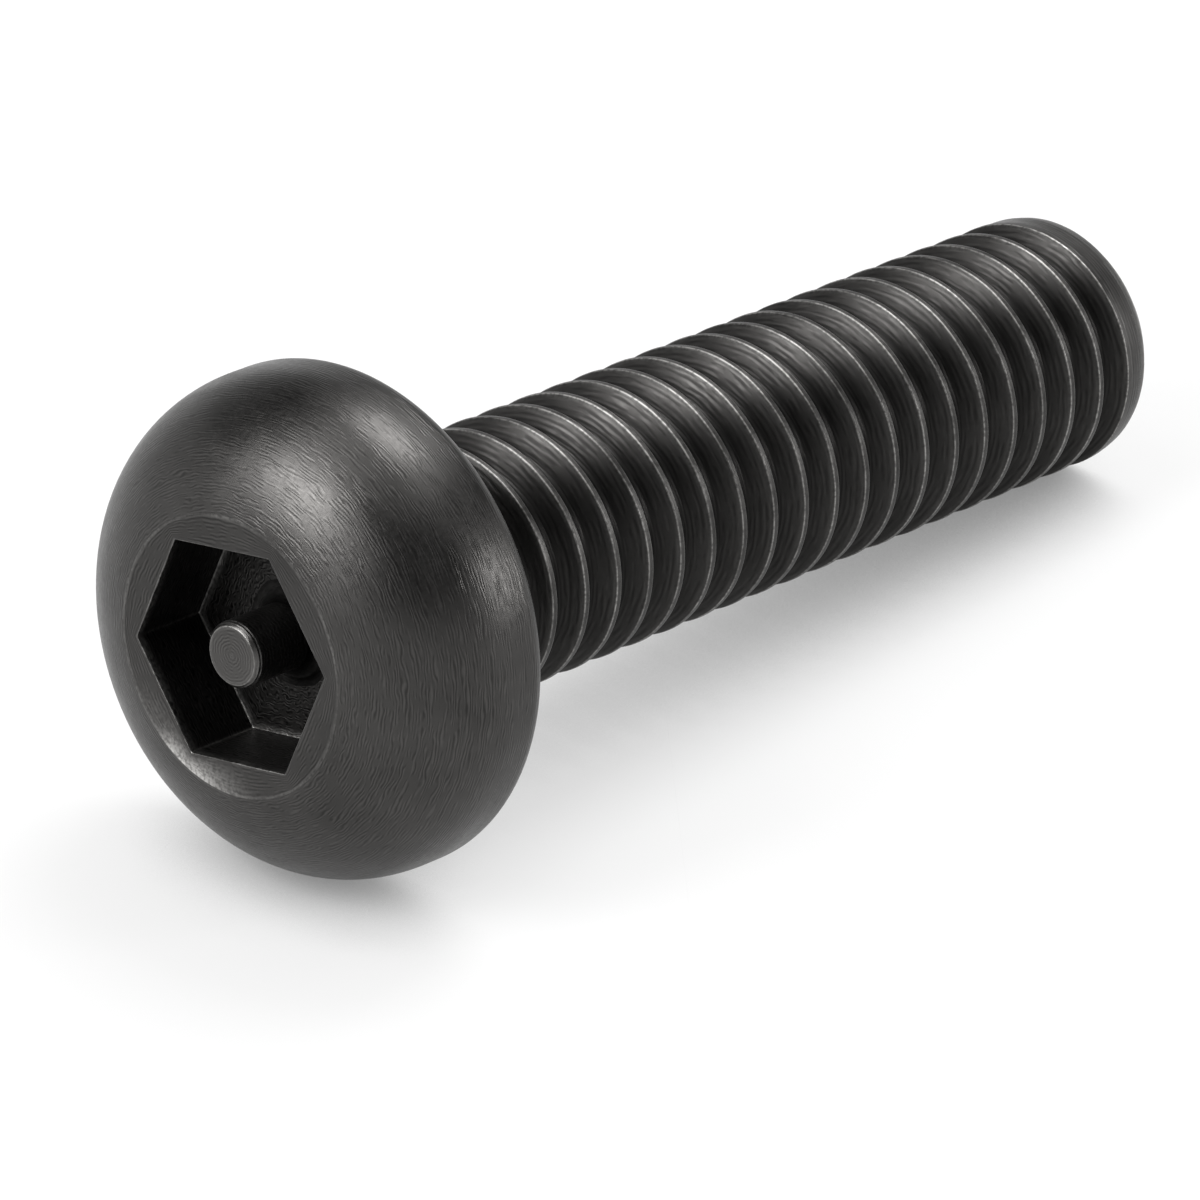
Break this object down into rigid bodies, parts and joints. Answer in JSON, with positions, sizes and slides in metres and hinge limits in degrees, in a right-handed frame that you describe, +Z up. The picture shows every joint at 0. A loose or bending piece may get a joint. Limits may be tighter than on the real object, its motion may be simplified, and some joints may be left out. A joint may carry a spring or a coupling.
{
  "type": "button head screw",
  "caption": "Machine screw with a low domed button head, a pin-in-hex security socket and a shank threaded along its length, lying on its head's rim and its thread.",
  "frame": {"origin": "on the ground, under the centre of the lying screw's box", "axes": "+X along the screw from its head towards its tip, +Z up; the screw's own axis dips 6.4 degrees towards the tip"},
  "size_m": [0.019, 0.0076, 0.0076],
  "materials": {
    "black_steel": "black oxide, satin"
  },
  "bodies": {
    "root": {"screw": "black_steel"}
  },
  "joints": []
}
